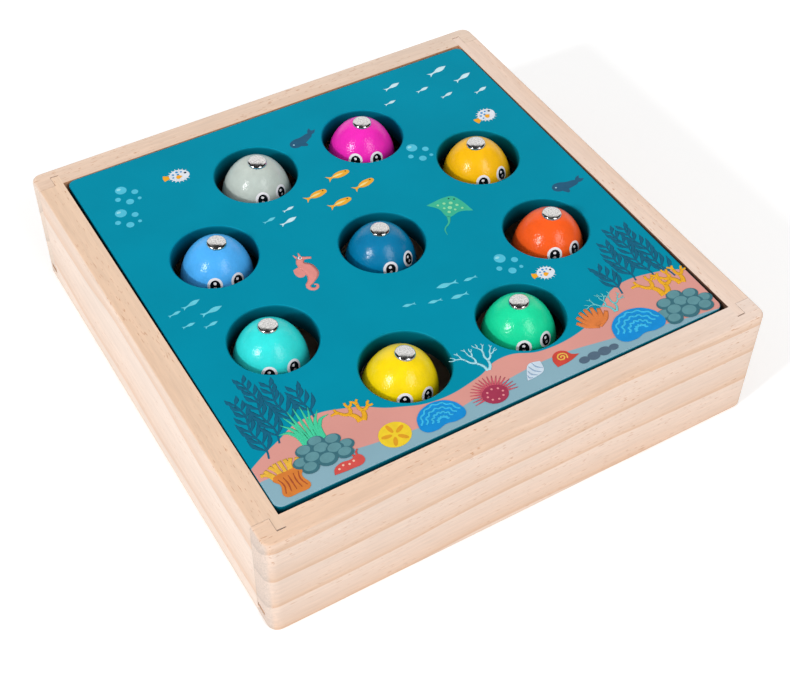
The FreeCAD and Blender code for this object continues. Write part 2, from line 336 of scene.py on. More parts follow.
def pine(name, quarter_turn, pith, ring_width, early, late, end=(0.71, 0.58, 0.50), flecks=1.0,
         top_light_left=NO_TINT, top_light_right=NO_TINT, gap_shade_left=NO_TINT, gap_shade_right=NO_TINT):
    """Sanded pine for one board. A quarter turn lays its grain along Y, and its rings centre on the pith."""
    material, tree, shader = finish_of(name)
    coords = put(tree, "TexCoord")
    turn = (0.0, 0.0, -math.pi / 2 if quarter_turn else 0.0)
    place = put(tree, "Mapping", {}, {"Vector": coords.outputs["Object"], "Rotation": turn})
    normal = put(tree, "Mapping", {"vector_type": "NORMAL"}, {"Vector": coords.outputs["Normal"],
                                                              "Rotation": turn})
    grain = tree.nodes.new("ShaderNodeGroup")
    grain.node_tree = pine_grain
    tree.links.new(place.outputs["Vector"], grain.inputs["Vector"])
    tree.links.new(normal.outputs["Vector"], grain.inputs["Normal"])
    grain.inputs["Pith"].default_value = Vector(pith) * MM
    grain.inputs["Ring Width"].default_value = ring_width * MM
    grain.inputs["Early"].default_value = (*early, 1.0)
    grain.inputs["Late"].default_value = (*late, 1.0)
    grain.inputs["End"].default_value = (*end, 1.0)
    grain.inputs["Flecks"].default_value = flecks
    grain.inputs["Top Light Left"].default_value = (*top_light_left, 1.0)
    grain.inputs["Top Light Right"].default_value = (*top_light_right, 1.0)
    grain.inputs["Gap Shade Left"].default_value = (*gap_shade_left, 1.0)
    grain.inputs["Gap Shade Right"].default_value = (*gap_shade_right, 1.0)
    bump = put(tree, "Bump", {}, {"Height": grain.outputs["Height"], "Strength": 0.4, "Distance": 0.0001})
    tree.links.new(grain.outputs["Color"], shader.inputs["Base Color"])
    tree.links.new(bump.outputs["Normal"], shader.inputs["Normal"])
    shader.inputs["Roughness"].default_value = 0.62
    shader.inputs["Specular IOR Level"].default_value = 0.25
    return material


def dress(node, material):
    """Give a CAD node its material."""
    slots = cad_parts[node].data.materials
    slots.clear()
    slots.append(material)


EARLY = (0.84, 0.67, 0.565)
LATE = (0.745, 0.49, 0.33)
# Tints for the wood inside the frame: painted shade in the gap round the board, a dark one and a lighter
# orange one.
GAP_SHADE_ORANGE = (0.95, 0.62, 0.42)
GAP_SHADE_DARK = (0.14, 0.09, 0.07)
# The bottom panel is dark brown ply, and its darkness also stands in as painted shade for the inside of the
# box seen through the holes.
PLY_EARLY = (0.50, 0.37, 0.26)
PLY_LATE = (0.40, 0.27, 0.17)
# The top tints on each board are painted light and shade.
dress("front_board", pine("pine_front", False, (0.0, -60.0, 120.0), 14.0, EARLY, LATE,
                          top_light_left=(1.10, 1.01, 0.91), top_light_right=(1.12, 1.18, 1.25),
                          gap_shade_left=GAP_SHADE_DARK, gap_shade_right=GAP_SHADE_DARK))
dress("back_board", pine("pine_back", False, (0.0, 150.0, 99.0), 14.0, EARLY, LATE, end=(0.78, 0.64, 0.54),
                         top_light_left=(1.06, 1.00, 0.93), top_light_right=(1.0, 1.0, 0.98),
                         gap_shade_left=GAP_SHADE_ORANGE, gap_shade_right=GAP_SHADE_ORANGE))
dress("left_board", pine("pine_left", True, (0.0, -70.0, 150.0), 17.0, (0.88, 0.735, 0.64),
                         (0.79, 0.565, 0.425), flecks=0.7, top_light_left=(1.03, 0.90, 0.77),
                         top_light_right=(1.02, 0.89, 0.75), gap_shade_left=GAP_SHADE_DARK, gap_shade_right=GAP_SHADE_DARK))
dress("right_board", pine("pine_right", True, (0.0, 140.0, 120.0), 15.0, EARLY, LATE,
                          top_light_left=(1.10, 1.08, 1.07), top_light_right=(1.08, 1.06, 1.05),
                          gap_shade_left=GAP_SHADE_DARK, gap_shade_right=GAP_SHADE_ORANGE))
# The strips lie wholly inside the frame, so all their wood takes the painted shade.
strip_pine = pine("pine_strips", False, (0.0, 0.0, 90.0), 9.0, EARLY, LATE, gap_shade_left=GAP_SHADE_DARK,
                  gap_shade_right=GAP_SHADE_DARK)
side_strip_pine = pine("pine_side_strips", True, (0.0, 0.0, 90.0), 9.0, EARLY, LATE, gap_shade_left=GAP_SHADE_DARK,
                       gap_shade_right=GAP_SHADE_DARK)
dress("front_batten", strip_pine)
dress("back_batten", strip_pine)
dress("left_batten", side_strip_pine)
dress("right_batten", side_strip_pine)
dress("bottom_panel", pine("ply_veneer", False, (0.0, 0.0, 900.0), 40.0, PLY_EARLY, PLY_LATE, flecks=0.3))


# --- Game board
# A board painted teal all over, also inside its holes, with a sea floor printed along its front edge. It lies
# on the strips a little askew.
BOARD_TURN = math.radians(-0.3)
BOARD_SHIFT_Y = 0.35 * MM
BOARD_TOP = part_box("game_board")[1][2]
BOARD_HALF_WIDTH = 89.2 * MM
BOARD_HALF_DEPTH = 89.0 * MM
TEAL = (0.0, 0.278, 0.410)
# The board's sides and its holes' walls take this darker teal as painted shade.
SHADED_TEAL = (0.0, 0.160, 0.235)
SAND = (0.726, 0.327, 0.283)
SHALLOWS = (0.261, 0.440, 0.522)
# Height of the sand's upper edge above the board's front edge, in shares of the board's width and 60 mm
SAND_LINE = ((0.0, 0.30), (0.07, 0.40), (0.14, 0.47), (0.22, 0.42), (0.30, 0.29), (0.38, 0.22), (0.47, 0.25),
             (0.54, 0.31), (0.62, 0.24), (0.70, 0.25), (0.78, 0.35), (0.86, 0.46), (0.93, 0.44), (1.0, 0.36))
SHALLOWS_LINE = ((0.0, 0.20), (0.10, 0.19), (0.22, 0.13), (0.35, 0.10), (0.50, 0.15), (0.62, 0.17),
                 (0.75, 0.12), (0.88, 0.05), (1.0, 0.0))
SEA_FLOOR_DEPTH = 60.0 * MM


def line_curve(tree, share, points):
    """A smooth line across the board, given by a few points."""
    curve = put(tree, "FloatCurve", {}, {"Value": share})
    line = curve.mapping.curves[0]
    line.points[0].location = points[0]
    line.points[1].location = points[-1]
    for point in points[1:-1]:
        line.points.new(*point)
    curve.mapping.update()
    return put(tree, "Math", {"operation": "MULTIPLY"}, {0: curve.outputs["Value"], 1: SEA_FLOOR_DEPTH})


def printed_paint():
    """Teal paint with the sand and the shallows on its top, and painted shade down its edges and its holes'
    walls, darker with depth.
    """
    material, tree, shader = finish_of("printed_board")
    coords = put(tree, "TexCoord")
    square = put(tree, "Mapping", {"vector_type": "TEXTURE"},
                 {"Vector": coords.outputs["Object"], "Location": (0.0, BOARD_SHIFT_Y, 0.0),
                  "Rotation": (0.0, 0.0, BOARD_TURN)})
    at = put(tree, "SeparateXYZ", {}, {"Vector": square.outputs["Vector"]})
    share = put(tree, "MapRange", {}, {"Value": at.outputs["X"], "From Min": -BOARD_HALF_WIDTH,
                                       "From Max": BOARD_HALF_WIDTH})
    depth = put(tree, "Math", {"operation": "ADD"}, {0: at.outputs["Y"], 1: BOARD_HALF_DEPTH})
    base = (*TEAL, 1.0)
    for points, field in ((SAND_LINE, SAND), (SHALLOWS_LINE, SHALLOWS)):
        line = line_curve(tree, share.outputs["Result"], points)
        below = put(tree, "Math", {"operation": "SUBTRACT"}, {0: line.outputs["Value"],
                                                              1: depth.outputs["Value"]})
        mask = put(tree, "MapRange", {}, {"Value": below.outputs["Value"], "From Min": -0.1 * MM,
                                          "From Max": 0.1 * MM})
        colour = put(tree, "Mix", {"data_type": "RGBA"}, {"Factor": mask.outputs["Result"], "A": base,
                                                          "B": (*field, 1.0)})
        base = colour.outputs["Result"]
    on_top = put(tree, "MapRange", {}, {"Value": at.outputs["Z"], "From Min": BOARD_TOP - 0.36 * MM,
                                        "From Max": BOARD_TOP - 0.28 * MM})
    # Down the walls the teal darkens further with depth: painted shade.
    wall_shade_tone = put(tree, "MapRange", {}, {"Value": at.outputs["Z"], "From Min": BOARD_TOP - 7.0 * MM,
                                           "From Max": BOARD_TOP - 0.6 * MM, "To Min": 0.25})
    shaded_wall = put(tree, "VectorMath", {"operation": "SCALE"}, {0: SHADED_TEAL,
                                                            "Scale": wall_shade_tone.outputs["Result"]})
    top_or_side = put(tree, "Mix", {"data_type": "RGBA"}, {"Factor": on_top.outputs["Result"],
                                                           "A": shaded_wall.outputs["Vector"], "B": base})
    mottle = put(tree, "TexNoise", {}, {"Vector": coords.outputs["Object"], "Scale": 35.0, "Detail": 4.0})
    tone = put(tree, "MapRange", {}, {"Value": mottle.outputs["Fac"], "From Min": 0.3, "From Max": 0.7,
                                      "To Min": 0.95, "To Max": 1.04})
    toned = put(tree, "VectorMath", {"operation": "SCALE"}, {0: top_or_side.outputs["Result"],
                                                             "Scale": tone.outputs["Result"]})
    peel = put(tree, "TexNoise", {}, {"Vector": coords.outputs["Object"], "Scale": 1800.0, "Detail": 2.0})
    bump = put(tree, "Bump", {}, {"Height": peel.outputs["Fac"], "Strength": 0.12, "Distance": 0.0001})
    sheen = put(tree, "MapRange", {}, {"Value": peel.outputs["Fac"], "To Min": 0.42, "To Max": 0.52})
    tree.links.new(toned.outputs["Vector"], shader.inputs["Base Color"])
    tree.links.new(sheen.outputs["Result"], shader.inputs["Roughness"])
    tree.links.new(bump.outputs["Normal"], shader.inputs["Normal"])
    shader.inputs["Specular IOR Level"].default_value = 0.03
    return material


dress("game_board", printed_paint())


# --- Printed sea
# Flat inks on the game board: small fish, bubbles, whales, puffers, a ray and a seahorse in the water, and
# weed, corals, an anemone and shells along the sand. Each ink is a thin film over those printed before it.
FILM = 0.04 * MM
FILM_STEP = 0.004 * MM
BRUSH_FLATNESS = 0.04
MERGE_REACH = 0.001 * MM
# The middle of a film lies this share of its thickness below its layer's upper face
MIDDLE_BELOW = 0.6
PRINT_PLACE = Matrix.Translation((0.0, BOARD_SHIFT_Y, BOARD_TOP)) @ Matrix.Rotation(BOARD_TURN, 4, "Z")


def light_of(red, green, blue):
    """The share of light that an ink sends back, from its colour as it looks on the board, 0 to 255."""
    return tuple(Color((red / 255, green / 255, blue / 255)).from_srgb_to_scene_linear())


def curve_object(name, dimensions):
    """A new empty curve, with its object."""
    curve = bpy.data.curves.new(name, "CURVE")
    curve.dimensions = dimensions
    drawn = bpy.data.objects.new(name, curve)
    bpy.context.collection.objects.link(drawn)
    return drawn, curve


def set_down(drawn, x, y, size, turn):
    """Put a shape at its place on the board, in mm, with its size and its turn in degrees."""
    drawn.location = (x * MM, y * MM, 0.0)
    drawn.scale[0] *= size
    drawn.scale[1] *= size
    drawn.rotation_euler[2] = math.radians(turn)
    return drawn


def outline(points, corners=(), x=0.0, y=0.0, size=1.0, turn=0.0):
    """A filled shape inside a smooth closed line. Points are in mm, and those in corners stay sharp."""
    drawn, curve = curve_object("outline", "2D")
    curve.fill_mode = "BOTH"
    curve.extrude = FILM / 2
    curve.resolution_u = 5
    spline = curve.splines.new("BEZIER")
    spline.bezier_points.add(len(points) - 1)
    for i, (point, knot) in enumerate(zip(points, spline.bezier_points)):
        knot.co = (point[0] * MM, point[1] * MM, 0.0)
        kind = "VECTOR" if i in corners else "AUTO"
        knot.handle_left_type = kind
        knot.handle_right_type = kind
    spline.use_cyclic_u = True
    return set_down(drawn, x, y, size, turn)


def spot(x, y, width, height=None, turn=0.0):
    """A filled ellipse."""
    drawn = outline(((0.5, 0), (0, 0.5), (-0.5, 0), (0, -0.5)), (), x, y, 1.0, turn)
    drawn.scale = (width, height or width, 1.0)
    return drawn


def strokes(runs, x=0.0, y=0.0, size=1.0, turn=0.0):
    """Rounded brush lines. Each run is its points and their half widths."""
    drawn, curve = curve_object("strokes", "3D")
    curve.bevel_depth = 1.0 * MM
    curve.bevel_resolution = 1
    curve.resolution_u = 4
    curve.use_fill_caps = True
    for points, widths in runs:
        spline = curve.splines.new("BEZIER")
        spline.bezier_points.add(len(points) - 1)
        for point, width, knot in zip(points, widths, spline.bezier_points):
            knot.co = (point[0] * MM, point[1] * MM, 0.0)
            knot.radius = width
            knot.handle_left_type = "AUTO"
            knot.handle_right_type = "AUTO"
    drawn.scale = (1.0, 1.0, BRUSH_FLATNESS)
    return set_down(drawn, x, y, size, turn)


def ink(name, colour):
    """Satin printing ink, a little uneven."""
    material, tree, shader = finish_of("ink_" + name)
    place = put(tree, "TexCoord").outputs["Object"]
    uneven = put(tree, "TexNoise", {}, {"Vector": place, "Scale": 420.0, "Detail": 3.0})
    tone = put(tree, "MapRange", {}, {"Value": uneven.outputs["Fac"], "From Min": 0.3, "From Max": 0.7,
                                      "To Min": 0.93, "To Max": 1.05})
    toned = put(tree, "VectorMath", {"operation": "SCALE"}, {0: light_of(*colour),
                                                             "Scale": tone.outputs["Result"]})
    tree.links.new(toned.outputs["Vector"], shader.inputs["Base Color"])
    shader.inputs["Roughness"].default_value = 0.48
    shader.inputs["Specular IOR Level"].default_value = 0.08
    return material


def print_ink(name, colour, layer, shapes):
    """Join shapes of one ink into a thin closed piece. Shapes that cross differ a little in height."""
    bpy.ops.object.select_all(action="DESELECT")
    for i, shape in enumerate(shapes):
        shape.location.z = (i % 5) * FILM_STEP
        shape.select_set(True)
    bpy.context.view_layer.objects.active = shapes[0]
    bpy.ops.object.convert(target="MESH")
    bpy.ops.object.join()
    bpy.ops.object.transform_apply(location=True, rotation=True, scale=True)
    bpy.ops.object.mode_set(mode="EDIT")
    bpy.ops.mesh.select_all(action="SELECT")
    bpy.ops.mesh.remove_doubles(threshold=MERGE_REACH)
    bpy.ops.mesh.normals_make_consistent(inside=False)
    bpy.ops.object.mode_set(mode="OBJECT")
    piece = bpy.context.object
    piece.name = "print_" + name
    piece.data.transform(PRINT_PLACE @ Matrix.Translation((0.0, 0.0, (layer - MIDDLE_BELOW) * FILM)))
    piece.data.materials.clear()
    piece.data.materials.append(ink(name, colour))
    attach(piece, "root")


def about(x, y, size, turn, dx, dy):
    """Where a motif's own point lies on the board."""
    angle = math.radians(turn)
    return (x + size * (dx * math.cos(angle) - dy * math.sin(angle)),
            y + size * (dx * math.sin(angle) + dy * math.cos(angle)))


# The water: schools of small fish, and bubbles with a shine on each large one
SMALL_FISH_LENGTH = 10
SMALL_FISH = ((5.0, 0.0), (1.6, 1.25), (-2.8, 0.35), (-5.0, 1.3), (-4.2, 0.0), (-5.0, -1.3), (-2.8, -0.35),
              (1.6, -1.25))


def school(places):
    """Small fish, each at a place with its length and turn."""
    return [outline(SMALL_FISH, (0, 3, 4, 5), x, y, length / SMALL_FISH_LENGTH, turn)
            for x, y, length, turn in places]


print_ink("cyan_fish", (105, 208, 226), 1, school((
    (-82, 4, 5, 8), (-75, 5.5, 7.5, 12), (-70, -1, 8.5, 6), (-80, -3.5, 5, 4), (-73, -7, 5.5, 8),
    (9, -31, 8.5, 174), (18, -32.5, 5.5, 178), (1, -36, 5.5, 172), (10, -38, 7, 176), (-8, -33, 5, 170),
    (-31, 31, 5.5, 10))))
print_ink("white_fish", (206, 236, 244), 1, school((
    (72, 79, 10, 14), (60, 71, 6, 10), (79, 70, 9, 16), (67, 63, 6, 12), (50, 79, 8, 12), (44, 70, 5.5, 8),
    (81, 59, 6.5, 14), (-25, 27, 7.5, 12), (-22, 33, 5, 10))))

BUBBLES = ((0, 0, 4.4), (4.4, -3.2, 2.6), (-3.0, -4.4, 2.2), (0.6, -7.6, 3.0), (4.6, -7.4, 1.5))
BUBBLE_PLACES = ((-78, 62), (-73, 74), (33, -29), (37, 41))
print_ink("bubbles", (84, 196, 222), 1, [
    spot(x + dx, y + dy, across) for x, y in BUBBLE_PLACES for dx, dy, across in BUBBLES])
print_ink("bubble_shine", (150, 222, 236), 2, [spot(x - 0.6, y + 0.7, 1.7, 1.2) for x, y in BUBBLE_PLACES])

# Two whales, each a body, a tail and a fin
WHALES = ((1, 66, 0.66, 14), (77, -8, 0.66, -10))
print_ink("whales", (38, 92, 124), 1, [shape for place in WHALES for shape in (
    outline(((-8.2, -0.4), (-7.4, 2.6), (-3.8, 4.2), (1.4, 3.4), (8.4, 2.6), (8.8, 1.2), (3.6, -1.8),
             (-2.0, -3.0), (-6.4, -2.6)), (), *place),
    outline(((7.6, 1.8), (8.6, 4.8), (11.4, 6.4), (10.8, 3.9), (13.2, 3.0), (10.2, 0.9)), (2, 4), *place),
    outline(((-3.2, -2.2), (-0.6, -5.6), (0.8, -4.8), (0.0, -1.8)), (1,), *place))])
print_ink("whale_eyes", (150, 196, 214), 2, [spot(*about(*place, -5.9, 0.6), 0.8) for place in WHALES])


def puffer(x, y, size, turn):
    """A round puffer looking right: its body with spines, its spots, its eye, its tail and its side fin."""
    spines = [(((3.4 * math.cos(a), 3.0 * math.sin(a)), (5.5 * math.cos(a), 5.0 * math.sin(a))), (0.5, 0.08))
              for a in (math.radians(40 + 20 * i) for i in range(15)) if abs(a - math.pi) > 0.3]
    body = [outline(((4.9, 0.2), (3.2, 2.9), (-0.4, 4.0), (-3.6, 2.4), (-4.7, 0.0), (-3.6, -2.4),
                     (-0.4, -4.0), (3.2, -2.7)), (), x, y, size, turn),
            strokes(spines, x, y, size, turn)]
    spots = [spot(*about(x, y, size, turn, dx, dy), across * size) for dx, dy, across in (
        (-0.6, 2.5, 1.3), (1.4, 2.2, 1.0), (-2.6, 1.2, 1.1), (-0.4, 0.7, 1.2), (-2.9, -0.8, 0.9))]
    eye = [spot(*about(x, y, size, turn, 3.1, 1.1), 1.2 * size)]
    tail = [outline(((-4.2, 0.0), (-7.2, 2.0), (-7.6, 0.0), (-7.2, -2.0)), (1, 3), x, y, size, turn)]
    side_fin = [outline(((1.4, -0.9), (-0.8, 0.2), (-1.2, -2.2)), (0,), x, y, size, turn)]
    return body, spots, eye, tail, side_fin


puffers = [puffer(-50, 71, 0.84, -10), puffer(74, 44, 0.84, 16), puffer(43.5, -43.5, 0.72, -8)]
bodies, spots, eyes, tails, side_fins = (sum(shapes, []) for shapes in zip(*puffers))
print_ink("puffer_tails", (247, 172, 38), 1, tails)
print_ink("puffer_bodies", (226, 232, 240), 2, bodies)
print_ink("puffer_spots", (64, 146, 204), 3, spots)
print_ink("puffer_eyes", (42, 48, 62), 3, eyes)
print_ink("puffer_fins", (247, 172, 38), 4, side_fins)

# Amber fish with a pale stripe from head to tail
AMBER_FISH = ((-9, 35, 0.9, 8), (4, 41, 0.9, 4), (10, 31.5, 0.9, 12), (-3, 26.5, 0.9, 6))
print_ink("amber_fish", (244, 176, 52), 1, [
    outline(((5.2, 0.0), (2.4, 1.7), (-1.4, 1.5), (-3.4, 0.5), (-5.8, 2.0), (-4.9, 0.0), (-5.8, -2.0),
             (-3.4, -0.5), (-1.4, -1.5), (2.4, -1.7)), (4, 5, 6), *place) for place in AMBER_FISH])
print_ink("amber_stripes", (250, 226, 150), 2, [
    outline(((2.6, 0.0), (-0.4, 0.6), (-3.6, 0.1), (-0.4, -0.4)), (0, 2), *place) for place in AMBER_FISH])
print_ink("amber_fish_eyes", (40, 32, 36), 2, [spot(*about(*place, 3.7, 0.5), 0.6) for place in AMBER_FISH])

# A green ray gliding to the upper right, with pale dots along its back, and a coral pink seahorse
RAY = (32, 4, 0.95, -38)
print_ink("ray", (62, 184, 150), 1, [
    outline(((0.0, 6.4), (2.2, 5.6), (9.4, -0.8), (4.2, -2.2), (1.2, -5.6), (0.0, -6.4), (-1.2, -5.6),
             (-4.2, -2.2), (-9.4, -0.8), (-2.2, 5.6)), (2, 8), *RAY),
    strokes([(((0.0, -5.6), (0.6, -9.5), (-0.5, -13.5), (0.8, -16.5)), (0.8, 0.4, 0.28, 0.12))], *RAY)])
print_ink("ray_dots", (150, 222, 168), 2, [
    spot(*about(*RAY, dx, dy), across) for dx, dy, across in (
        (0.0, 2.2, 1.5), (0.0, -0.6, 1.7), (0.0, -3.2, 1.3), (2.6, 1.4, 1.2), (-2.6, 1.4, 1.2),
        (4.9, 0.0, 1.0), (-4.9, 0.0, 1.0), (2.2, -1.4, 1.0), (-2.2, -1.4, 1.0))])
print_ink("ray_eyes", (24, 66, 70), 2, [spot(*about(*RAY, dx, 4.7), 0.7) for dx in (-1.1, 1.1)])

SEAHORSE = (-32, 0, 0.92, 0)
print_ink("seahorse", (229, 146, 138), 1, [
    strokes([(((1.4, 7.4), (0.2, 5.0), (1.6, 1.4), (1.7, -2.4), (-0.6, -5.6), (-3.0, -8.0), (-1.2, -10.2),
               (0.6, -8.7), (-0.5, -7.7)), (1.6, 1.6, 2.9, 2.7, 1.4, 0.95, 0.75, 0.5, 0.3)),
             (((1.2, 7.6), (3.4, 7.0), (5.6, 6.0)), (1.5, 0.75, 0.6)),
             (((0.4, 8.4), (-0.2, 10.6)), (0.6, 0.15)), (((1.8, 8.8), (2.2, 10.9)), (0.6, 0.15))], *SEAHORSE),
    outline(((-0.9, 3.2), (-4.0, 3.0), (-4.4, 0.2), (-3.2, -2.0), (-0.8, -1.4)), (1,), *SEAHORSE)])
print_ink("seahorse_ribs", (203, 104, 104), 2, [
    strokes([(((3.9 - 0.25 * abs(i - 1.5), 2.4 - 1.7 * i), (1.8, 1.9 - 1.6 * i), (0.4, 2.3 - 1.55 * i)),
              (0.12, 0.2, 0.1)) for i in range(4)], *SEAHORSE)])
print_ink("seahorse_eye", (238, 240, 244), 2, [spot(*about(*SEAHORSE, 1.5, 7.9), 1.5)])
print_ink("seahorse_pupil", (38, 60, 84), 3, [spot(*about(*SEAHORSE, 1.6, 7.9), 0.75)])


# The sea bed: weed and corals first, from the far side of the dunes to the near one
LEAF_SPACING = 3.2


def weed(x, y, height, lean):
    """A wavy stem with pointed leaves on both sides."""
    steps = int(height / LEAF_SPACING)
    stem = [(x + lean * k + 0.7 * math.sin(1.3 * k + x), y + LEAF_SPACING * k) for k in range(steps + 1)]
    runs = [(tuple(stem), (0.35,) * (steps + 1))]
    for k, (stem_x, stem_y) in enumerate(stem[1:]):
        for side in (-1, 1):
            long = 4.6 - 2.4 * k / steps
            runs.append((((stem_x, stem_y), (stem_x + 0.62 * side * long, stem_y + 0.75 * long),
                          (stem_x + 0.85 * side * long, stem_y + 1.5 * long)), (0.25, 0.85, 0.08)))
    return runs


def branching(x, y, heading, length, width, forks, spread, bend=0.12):
    """The runs of a coral whose branches split in two. Heading is in degrees clockwise from straight up."""
    angle = math.radians(heading)
    tip_x = x + length * math.sin(angle)
    tip_y = y + length * math.cos(angle)
    middle = ((x + tip_x) / 2 + bend * length * math.cos(angle),
              (y + tip_y) / 2 - bend * length * math.sin(angle))
    runs = [(((x, y), middle, (tip_x, tip_y)), (width, 0.85 * width, 0.72 * width))]
    if forks:
        runs += branching(tip_x, tip_y, heading - spread, 0.80 * length, 0.72 * width, forks - 1,
                          0.92 * spread, -bend)
        runs += branching(tip_x, tip_y, heading + 1.15 * spread, 0.66 * length, 0.72 * width, forks - 1,
                          0.85 * spread, bend)
    return runs


def coral(x, y, heading, length, width, forks, spread):
    """Two stems from one root, leaning apart."""
    return (branching(x, y, heading - 20, length, width, forks, spread)
            + branching(x + width, y, heading + 26, 0.9 * length, width, forks, spread))


print_ink("dark_weed", (20, 100, 130), 1, [
    strokes(weed(x, y, height, lean)) for x, y, height, lean in (
        (-82, -70, 26, 0.05), (-76, -66, 30, 0.1), (-69, -62, 20, 0.0), (-62, -62, 14, 0.2),
        (83, -68, 30, -0.1), (76.5, -64, 28, 0.1), (69.5, -63, 20, 0.1), (62, -66, 14, -0.2))])
print_ink("green_grass", (70, 206, 158), 2, [
    strokes([(((-66 + 0.8 * k, -74), (-66 + 1.3 * k + 0.4 * math.sin(2.0 * k), -64),
               (-66 + 2.3 * k, -55 - 0.5 * k * k)), (0.75, 0.7, 0.1)) for k in range(-4, 5)])])
print_ink("gold_coral", (238, 174, 40), 2, [
    strokes(coral(-49, -71, 0, 4.6, 1.1, 2, 34)), strokes(coral(74, -74, 4, 5.4, 1.3, 2, 34)),
    strokes(coral(83, -72, -6, 4.4, 1.1, 2, 30))])
print_ink("pale_coral", (168, 224, 236), 2, [strokes(coral(-0.4, -73, 0, 5.0, 0.6, 3, 20))])
print_ink("cyan_coral", (110, 204, 208), 3, [strokes(coral(54, -72, 0, 4.2, 0.5, 3, 30))])
print_ink("orange_tuft", (226, 128, 66), 2, [
    strokes([(((45, -75), (45 + 5.0 * math.sin(a), -75 + 4.6 * math.cos(a)),
               (45 + 7.6 * math.sin(a), -75 + 9.4 * math.cos(a))), (0.9, 1.1, 0.7))
             for a in (-1.0, -0.66, -0.33, 0.0, 0.33, 0.66, 1.0)])])

# Stones lie in a heap, the near ones last, each with a paler top
STONES = ((0.0, 4.2, 6.0), (-5.0, 2.6, 6.2), (5.2, 2.4, 6.0), (0.4, 0.8, 6.6), (-8.0, -1.4, 6.0),
          (8.2, -1.6, 5.8), (-3.8, -1.2, 6.4), (4.2, -1.4, 6.4), (-6.2, -4.4, 6.0), (0.2, -4.0, 7.0),
          (6.4, -4.4, 6.0))
STONE_HEAPS = ((-66, -75.5, 1.0), (77, -80.5, 1.08))
STONE_TONES = (("stone", (62, 112, 124), 0.0, 1.0), ("stone_top", (98, 148, 156), 0.5, 0.74))
for i, (dx, dy, across) in enumerate(STONES):
    for name, colour, shift, share in STONE_TONES:
        print_ink(f"{name}_{i}", colour, 3 + 0.2 * i + 0.1 * (shift > 0), [
            spot(x + size * dx, y + size * (dy + shift), size * across * share, 0.78 * size * across * share)
            for x, y, size in STONE_HEAPS])
PEBBLES = ((31, 4.0), (35, 4.8), (39.5, 5.0), (43.4, 3.6))
print_ink("pebbles", (86, 108, 128), 3, [spot(x, -85.4, across, 0.75 * across) for x, across in PEBBLES])


def dome_coral(x, y, size):
    """A smooth dome, and the wavy furrows that arch over it."""
    dome = outline(((-10, -4.5), (-10.4, 0.6), (-7.4, 5.0), (-2.4, 7.2), (3.0, 7.1), (7.8, 4.6), (10.4, 0.4),
                    (10, -4.5), (5, -6.0), (0, -5.2), (-5, -6.2)), (), x, y, size, 0)
    furrows = []
    for reach in (2.6, 4.9, 7.2, 9.4):
        points = []
        for k in range(13):
            angle = math.radians(16 + 148 * k / 12)
            points.append(((reach + 0.45 * (-1) ** k) * math.cos(angle),
                           -3.9 + (1.06 * reach + 0.35 * (-1) ** k) * math.sin(angle)))
        furrows.append((points, (0.42,) * 13))
    return dome, strokes(furrows, x, y, size, 0)


dome_corals = [dome_coral(-25, -81.8, 0.80), dome_coral(57, -80.5, 0.95)]
domes, furrows = zip(*dome_corals)
print_ink("blue_dome_coral", (20, 142, 216), 4, domes)
print_ink("dome_furrows", (62, 190, 236), 5, furrows)

# A sea anemone: arms from its rim, then its foot with darker folds
ANEMONE = (-80.0, -80.6, 1.0, 0)
print_ink("anemone_arms", (236, 184, 66), 2, [
    strokes([(((1.05 * k, 1.6), (1.5 * k + 0.5 * math.sin(2.4 * k), 5.0), (1.95 * k, 8.2 - 0.16 * k * k)),
              (0.8, 0.65, 0.75)) for k in range(-4, 5)], *ANEMONE)])
print_ink("anemone_foot", (218, 128, 56), 3, [
    outline(((-4.6, -5.4), (-3.9, -0.6), (-5.2, 2.2), (0.0, 3.4), (5.2, 2.2), (3.9, -0.6), (4.6, -5.4),
             (0.0, -6.2)), (), *ANEMONE)])
print_ink("anemone_folds", (172, 82, 48), 4, [
    strokes([(((0.9 * k, 1.6), (0.72 * k, -1.4), (0.95 * k, -4.6)), (0.12, 0.26, 0.14))
             for k in range(-4, 5, 2)], *ANEMONE)])

# A sea urchin, a sand dollar, a sea snail, a cone shell and a sea slug lie between the corals
SPINE_TURNS = [math.radians(11 * i) for i in range(-9, 10)]
print_ink("urchin_spines", (206, 92, 108), 3, [
    strokes([(((-4 + 2.0 * math.sin(a), -83 + 2.0 * math.cos(a)),
               (-4 + 8.6 * math.sin(a), -83 + 8.0 * math.cos(a))), (0.62, 0.12)) for a in SPINE_TURNS])])
print_ink("urchin", (166, 56, 84), 4, [spot(-4, -83.2, 9.6, 8.0)])
DOT_TURNS = [math.radians(45 * i) for i in range(8)]
print_ink("urchin_dots", (232, 146, 152), 5, [
    spot(-4 + 3.0 * math.sin(a), -83.2 + 2.4 * math.cos(a), 0.8) for a in DOT_TURNS])

DOLLAR = (-42, -81.5)
print_ink("sand_dollar", (242, 208, 48), 3, [spot(*DOLLAR, 11.6, 10.4, 10)])
print_ink("dollar_petals", (226, 160, 40), 4, [
    spot(*about(*DOLLAR, 1.0, turn, 2.9, 0.0), 3.8, 1.5, turn) for turn in range(100, 460, 72)])

SNAIL = (25, -80.6, 0.95, 8)
print_ink("snail", (208, 74, 62), 3, [
    outline(((-4.4, -2.6), (-3.6, 1.2), (-0.4, 3.2), (2.8, 1.8), (3.9, -0.8), (6.2, -2.4), (1.0, -3.1)),
            (0, 5), *SNAIL)])
whorl = [((2.3 - 0.2 * k) * math.cos(1.05 * k - 0.9), 0.1 + (2.0 - 0.18 * k) * math.sin(1.05 * k - 0.9))
         for k in range(11)]
print_ink("snail_whorl", (240, 190, 84), 4, [strokes([(whorl, (0.3,) * len(whorl))], *SNAIL)])

